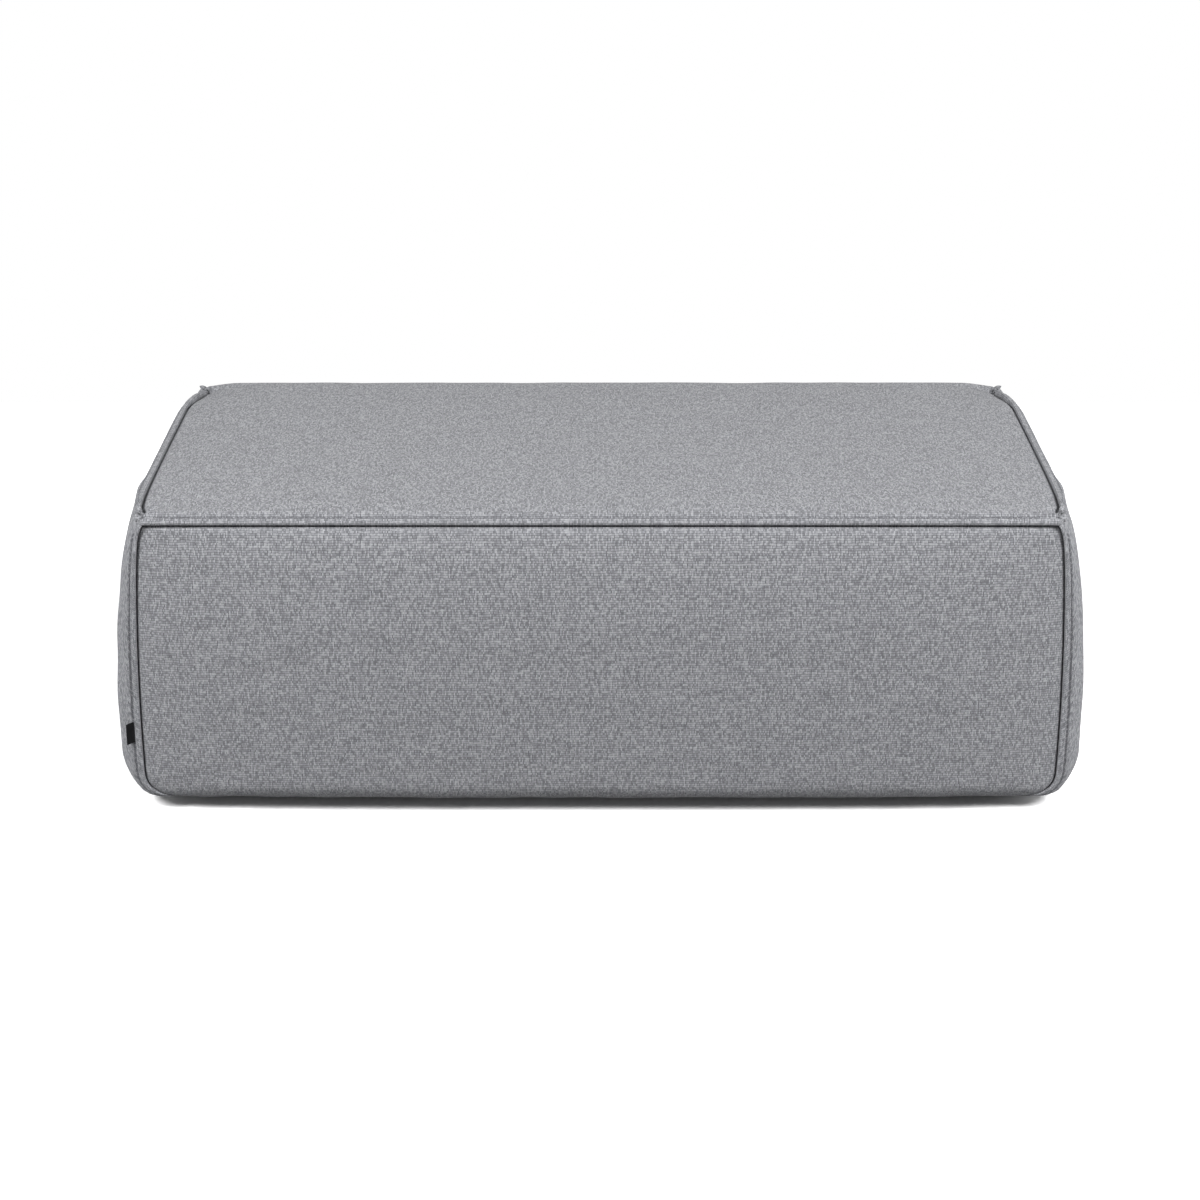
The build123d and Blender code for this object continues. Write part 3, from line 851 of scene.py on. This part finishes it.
def labelFinish():
    # satin-woven ribbon: fine ribs across it
    f = Finish("labelRibbon", {"Roughness": 0.8, "Specular IOR Level": 0.12})
    uv = f.add("UVMap", {"uv_map": "weave"})
    across, down, _ = f.split(uv)
    ribs = (down * 12000.0).sine() * 0.5 + (across * 9000.0).sine() * 0.5
    f.feed({"Base Color": f.mix(f.noise(uv, 1500.0, 2.0), tone(7, 7, 8), tone(22, 22, 24)),
            "Normal": f.bump(0.3, 0.0003, ribs)})
    return f


sideLabel = makeLabel()
labelFinish().paint(sideLabel)
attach(sideLabel, "root")
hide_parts("side_label")
print("label made")


# padding under the cover: CAD shapes, remeshed, softened and made uneven
padding = dict(
    gap=2.8,                # least distance inside the cover
    lowest=21.5, cornerRadius=14,
    inset=1.2,              # how far in the ripple's middle lies, in ripples
    smoothing=6, slant=(0.7, 0.4), waves=(12, 0.006, 0.04),     # the ripple's lean with height; its waves
    crown=((0, 110, 170, 210, 235, 250, 262), (400, 399.6, 398.6, 397, 395.4, 393.6, 390)),      # y, height
)


def sideReach(y, z):
    # how far out the side panel's wall stands, for points anywhere along it
    ends = np.clip((np.abs(y) - sidePanel["straight"]) / sidePanel["corner"], 0, 1)
    seam = seamOut(z)
    return seam + (wallOut(z) - seam) * np.sqrt(1 - ends ** 2) ** 0.9 + sideBowOut(y) + lipShift(y, z)


def frontReach(x, z):
    # how far forward the front panel stands, without the rounding of its edges
    s = np.clip(np.abs(x) / (seamOut(z) - frontPanel["sideGap"]), 0, 1)
    return frontPanel["edge"] + frontSwell(s, z) - turnUnder(z, lowRadius(s, padding["cornerRadius"]))


def topReach(x, y):
    # height of the top panel's crown
    crown = np.interp(np.abs(y), *padding["crown"])
    return crown - crownDip(x, y) - backSlope(x, y)


def keepUnder(p):
    # holds points of the padding a little inside the cover
    gap = padding["gap"]
    x, y, z = p[:, 0], p[:, 1], np.maximum(p[:, 2], padding["lowest"])
    z = np.minimum(z, topReach(x, y) - gap)
    x = np.sign(x) * np.minimum(np.abs(x), sideReach(y, z) - gap)
    y = np.sign(y) * np.minimum(np.abs(y), frontReach(x, z) - gap)
    return np.stack([x, y, z], axis=1)


def softCopy(node, name, voxel, seed, amount):
    # the node's solid merged, remeshed in voxels and smoothed, then moved along its normals by a
    # ripple and held under the cover
    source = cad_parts[node]
    mesh = source.data.copy()
    mesh.transform(source.matrix_world)
    merged = bmesh.new()
    merged.from_mesh(mesh)
    bmesh.ops.remove_doubles(merged, verts=merged.verts, dist=1e-5)
    merged.to_mesh(mesh)
    merged.free()
    temp = addPiece(name + "Temp", mesh)
    skin = temp.modifiers.new("voxels", "REMESH")
    skin.mode, skin.voxel_size = "VOXEL", voxel
    soften = temp.modifiers.new("soften", "SMOOTH")
    soften.factor, soften.iterations = 0.5, padding["smoothing"]
    graph = bpy.context.evaluated_depsgraph_get()
    graph.update()
    made = bpy.data.meshes.new_from_object(temp.evaluated_get(graph))
    bpy.data.objects.remove(temp)
    bpy.data.meshes.remove(mesh)
    made.name = name
    count = len(made.vertices)
    places, normals = np.zeros(count * 3, np.float32), np.zeros(count * 3, np.float32)
    made.vertices.foreach_get("co", places)
    made.vertex_normals.foreach_get("vector", normals)
    p, normals = places.reshape(-1, 3) * 1000, normals.reshape(-1, 3)
    leanX, leanY = padding["slant"]
    wave = ripple(p[:, 0] + p[:, 2] * leanX, p[:, 1] - p[:, 2] * leanY, seed, *padding["waves"])
    p = keepUnder(p + normals * ((wave - padding["inset"]) * amount)[:, None])
    made.vertices.foreach_set("co", (p / 1000).astype(np.float32).ravel())
    made.materials.clear()
    made.polygons.foreach_set("use_smooth", np.ones(len(made.polygons), dtype=bool))
    made.update()
    return addPiece(name, made)


def foamFinish():
    # open cells: pores darkened where Voronoi cells are small, painted shade in the cavities, over a slow
    # tone drift
    f = Finish("foamCells", {"Roughness": 0.95})
    at = f.place()
    cells = f.add("TexVoronoi", None, {"Vector": at, "Scale": 900.0})
    shade = f.mix(f.noise(at, 14.0, 3.0), tone(196, 194, 188), tone(216, 214, 207))
    f.feed({"Base Color": f.mix((cells < 0.28) * 0.5, shade, tone(120, 118, 112)),
            "Normal": f.bump(0.5, 0.0006, cells)})
    return f


def waddingFinish():
    # matted fibres: fine noise drawn out in two directions
    f = Finish("waddingFibres", {"Roughness": 1.0, "Sheen Weight": 0.3})
    at = f.place()
    one = f.noise(f.stretch(at, (900, 160, 300)), 1.0, 4.0, 1.5)
    two = f.noise(f.stretch(at, (140, 800, 300)), 1.0, 4.0, 1.5)
    both = one * 0.5 + two * 0.5
    f.feed({"Base Color": f.mix(both, tone(188, 188, 187), tone(236, 236, 234)),
            "Normal": f.bump(0.6, 0.001, both)})
    return f


foam, fibres = foamFinish(), waddingFinish()
softs = [     # node, name, voxel, finish, slot, ripple, fill
    ("foam_block", "foamBlock", 0.008, foam, "foam", 0.5, 1.0),
    ("wadding_top", "waddingTop", 0.005, fibres, "wadding", 0.6, 0.7),
]
for way in ("front", "back", "left", "right"):
    softs.append(("pad_" + way, "pad" + way.title(), 0.005, foam, "foam", 0.4, 0.9))
for number, (node, name, voxel, finish, slotName, amount, fill) in enumerate(softs):
    piece = softCopy(node, name, voxel, 50 + number, amount)
    finish.paint(piece)
    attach(piece, "root")
    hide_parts(node)
    print("padding", name, len(piece.data.polygons), "faces")


# woven deck: each strap rises over and dips under the straps it crosses
deck = dict(
    width=60.0, thick=1.2, low=235.5, high=236.9,
    reach=32.0, ease=9, step=6,             # a crossing's half length, and the slope beyond it
    selvedge=1.2, rib=0.04, ribBeat=2.6,
    cross=(8, 450, 229), long=(3, 145, 535),        # count, outermost place, half length
)


def strapPiece(name, place, crossings, half, overFirst, alongX):
    # a ribbon: level eased between low and high round each crossing, with a rounded selvedge
    d = deck
    marks = [-half, half]
    for c in crossings:
        marks += [c - d["reach"] - d["step"], c - d["reach"], c + d["reach"], c + d["reach"] + d["step"]]
    marks = sorted(m for m in marks if abs(m) <= half)
    along = spread(*[(a, b, max(2, int((b - a) / d["step"]))) for a, b in zip(marks, marks[1:])])
    level = np.full(len(along), d["low"])
    for k, c in enumerate(crossings):
        if (k % 2 == 0) == overFirst:
            near = easeStep(np.abs(along - c), d["reach"] + d["ease"], -d["ease"])
            level = np.maximum(level, d["low"] + (d["high"] - d["low"]) * near)
    wide = spread((-1, -0.94, 4), (-0.94, 0.94, 16), (0.94, 1, 4)) * d["width"] / 2
    inEdge = np.clip((np.abs(wide) - d["width"] / 2 + d["selvedge"]) / d["selvedge"], 0, 1)
    edge = np.sqrt(np.clip(1 - inEdge ** 2, 0, 1))
    rib = d["rib"] * np.sin(wide * d["ribBeat"])
    aa, ww = np.meshgrid(along, wide, indexing="ij")
    top = level[:, None] + (d["thick"] / 2 + rib[None, :]) * edge[None, :]
    low = level[:, None] - d["thick"] / 2 * edge[None, :]
    x, y = (aa, ww + place) if alongX else (ww + place, aa)
    outer, inner = np.stack([x, y, top], axis=2), np.stack([x, y, low], axis=2)
    return closedPiece(name, outer, inner, np.stack([ww, aa], axis=2), flip=not alongX)


def webbingFinish():
    # jute-like twill ribs along the strap with two pale selvedge lines; the ribs and picks also go into the
    # colour in step with their bump, lighter on their crowns and darker in their hollows: painted shade
    f = Finish("webbingTwill", {"Roughness": 0.8})
    across, along, _ = f.split(f.add("UVMap", {"uv_map": "weave"}))
    ribs = (across * 2600.0 + (along * 900.0).sine() * 1.2).sine()
    picks = (along * 3100.0).sine()
    stripe = abs(abs(across) - 0.022) < 0.0015
    base = f.mix(ribs * 0.3 + picks * 0.2 + 0.5, tone(40, 40, 43), tone(74, 74, 78))
    f.feed({"Base Color": f.mix(stripe, base, tone(150, 146, 138)),
            "Normal": f.bump(0.5, 0.0006, ribs * 0.6 + picks * 0.4)})
    return f


webbing = webbingFinish()
crossPlaces, longPlaces = [np.linspace(-last, last, n) for n, last, _ in (deck["cross"], deck["long"])]
straps = (("cross", crossPlaces, longPlaces, 0), ("long", longPlaces, crossPlaces, 1))
for way, places, others, odd in straps:
    for i, place in enumerate(places):
        half = deck[way][2]
        piece = strapPiece("%sStrap%d" % (way, i + 1), place, others, half, i % 2 == odd, way == "long")
        webbing.paint(piece)
        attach(piece, "root")
        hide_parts("%s_strap_%d" % (way, i + 1))
print("deck woven")


dust = dict(half=(531.4, 225.0), level=17.5, thick=0.6, window=10.5, feet=(500.0, 194.0), sag=0.1, edge=40)


def makeDustCloth():
    # a flat sheet with a window at each foot, its level rippling very slightly between staples
    d = dust

    def cuts(half, foot):
        near, far = foot - d["window"], foot + d["window"]
        return spread((-half, -far, 6), (-far, -near, 3), (-near, near, 60), (near, far, 3), (far, half, 6))

    xx, yy = np.meshgrid(cuts(d["half"][0], d["feet"][0]), cuts(d["half"][1], d["feet"][1]), indexing="ij")
    inside = np.minimum(d["half"][0] - np.abs(xx), d["half"][1] - np.abs(yy))
    zz = d["level"] + d["sag"] * ripple(xx, yy, 71, 14, 0.004, 0.016) * easeStep(inside / d["edge"])
    points = np.stack([xx, yy, zz], axis=2).reshape(-1, 3)
    quads = quadsOf(np.arange(xx.size).reshape(xx.shape))
    middle = np.abs(points[quads].mean(axis=1)[:, :2])
    hole = (np.abs(middle - np.array(d["feet"])) < d["window"]).all(axis=1)
    piece = facedPiece("dustCloth", points, quads[~hole].tolist())
    thicken = piece.modifiers.new("cloth", "SOLIDIFY")
    thicken.thickness, thicken.offset = d["thick"] / 1000, 0
    return piece


def nonwovenFinish():
    # spunbond: small embossed dots in rows over tangled fibres
    f = Finish("nonwoven", {"Roughness": 0.85})
    at = f.place()
    across, deep, _ = f.split(at)
    dots = (across * 2500.0).sine() * (deep * 2500.0).sine() > 0.35
    tangle = f.noise(at, 420.0, 5.0, 2.0)
    f.feed({"Base Color": f.mix(tangle, tone(26, 26, 28), tone(58, 58, 61)),
            "Normal": f.bump(0.4, 0.0004, tangle - dots * 0.4)})
    return f


dustCloth = makeDustCloth()
nonwovenFinish().paint(dustCloth)
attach(dustCloth, "root")
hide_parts("dust_cloth")
print("dust cloth made")


screw = dict(
    radius=5.2, top=5.8, rise=2.6, around=24, cross=0.45,
    rings=[(1.0, 0.0, 0), (1.0, 0.25, 0), (0.9, 0.6, 0), (0.74, 0.86, 0), (0.6, 1.0, 0),
           (0.36, 1.02, 1), (0.2, 0.35, 1), (0.04, 0.3, 0)],      # width, drop, whether it is a cross
)


def screwHead(name, x, y):
    # pan head seen from below: rings from the rim in to the middle, with a cross-shaped recess
    s = screw
    turn = np.arange(s["around"]) * 2 * math.pi / s["around"]
    width, drop, crossed = np.array(s["rings"])[:, :, None].transpose(1, 0, 2)
    r = s["radius"] * width * (1 + crossed * s["cross"] * np.cos(4 * turn))
    z = s["top"] - s["rise"] * drop + 0 * r
    ringPoints = np.stack([x + np.cos(turn) * r, y + np.sin(turn) * r, z], axis=2)
    poles = np.array([[x, y, s["top"]], [x, y, s["top"] - s["rise"] * 0.3]])
    points = np.concatenate([poles[:1], ringPoints.reshape(-1, 3), poles[1:]])
    caps, sides = capsuleFaces(len(s["rings"]), s["around"])
    return facedPiece(name, points, caps[:, ::-1].tolist() + sides[:, ::-1].tolist())


def zincFinish():
    # zinc plate: cloudy roughness
    f = Finish("zincPlate", {"Metallic": 1.0, "Base Color": tone(176, 178, 182)})
    cloud = f.noise(f.place(), 300.0, 3.0)
    f.feed({"Roughness": cloud * 0.3 + 0.25})
    return f


zinc = zincFinish()
for number, (x, y) in enumerate(((-500, -194), (-500, 194), (500, -194), (500, 194))):
    piece = screwHead("screwHead%d" % (number + 1), x, y)
    zinc.paint(piece)
    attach(piece, "root")
print("screw heads made")


def plyFinish(name, axis):
    # plywood: plies in turn light and dark along the board's thickness, and grain along its length
    f = Finish(name, {"Roughness": 0.65, "Specular IOR Level": 0.3})
    at = f.place()
    through = f.split(at)[axis]
    ply = (through * (math.pi * 1000 / 1.5)).sine() > 0.0      # plies of 1.5 mm
    by = np.array((12, 340, 340) if axis == 1 else (340, 12, 340))
    grain = f.noise(f.stretch(at, by), 0.9, 5.0, 0.8)
    pores = f.noise(f.stretch(at, 4 * by), 1.2, 2.0)
    wood = f.mix(grain, tone(176, 140, 100), tone(220, 190, 148))
    wood = f.mix(ply * 0.38, wood, tone(128, 92, 60))
    f.feed({"Base Color": f.mix((pores > 0.62) * 0.4, wood, tone(120, 88, 58)),
            "Normal": f.bump(0.35, 0.0004, grain - ply * 0.3)})
    return f


def pineFinish():
    # pine post: growth rings round an axis outside the post, stretched along its height
    f = Finish("pineHeartwood", {"Roughness": 0.6})
    at = f.place()
    rings = f.add("TexWave", {"wave_type": "RINGS", "rings_direction": "Z"},
                  {"Vector": f.stretch(at, (1, 1, 0.06)), "Scale": 90.0, "Distortion": 3.0, "Detail": 2.0,
                   "Detail Scale": 1.5})
    fine = f.noise(f.stretch(at, (700, 700, 20)), 1.0, 3.0)
    wood = f.mix(rings, tone(226, 192, 140), tone(196, 148, 92))
    f.feed({"Base Color": f.mix(fine * 0.3, wood, tone(168, 122, 74)),
            "Normal": f.bump(0.25, 0.0003, rings + fine)})
    return f


def plasticFinish():
    # moulded plastic with a fine spark texture and scuffed, shinier patches
    f = Finish("mouldedPlastic", {})
    at = f.place()
    scuff = f.noise(at, 60.0, 6.0, 1.0)
    f.feed({"Roughness": scuff * 0.35 + 0.35,
            "Base Color": f.mix((scuff > 0.64) * 0.5, tone(33, 33, 35), tone(70, 70, 72)),
            "Normal": f.bump(0.35, 0.0002, f.noise(at, 1400.0, 2.0))})
    return f


def refinish(finish, *nodes):
    # CAD nodes that stay get their finish through their own material slots
    for name in nodes:
        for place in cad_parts[name].material_slots:
            place.material = finish.material


refinish(plyFinish("plyAcross", 1), "front_rail", "back_rail")
refinish(plyFinish("plyDeep", 0), "left_rail", "right_rail", "left_bearer", "right_bearer")
fourCorners = ("front_left", "back_left", "front_right", "back_right")
refinish(pineFinish(), *["post_" + corner for corner in fourCorners])
refinish(plasticFinish(), *["foot_" + corner for corner in fourCorners])
print("CAD nodes refinished")
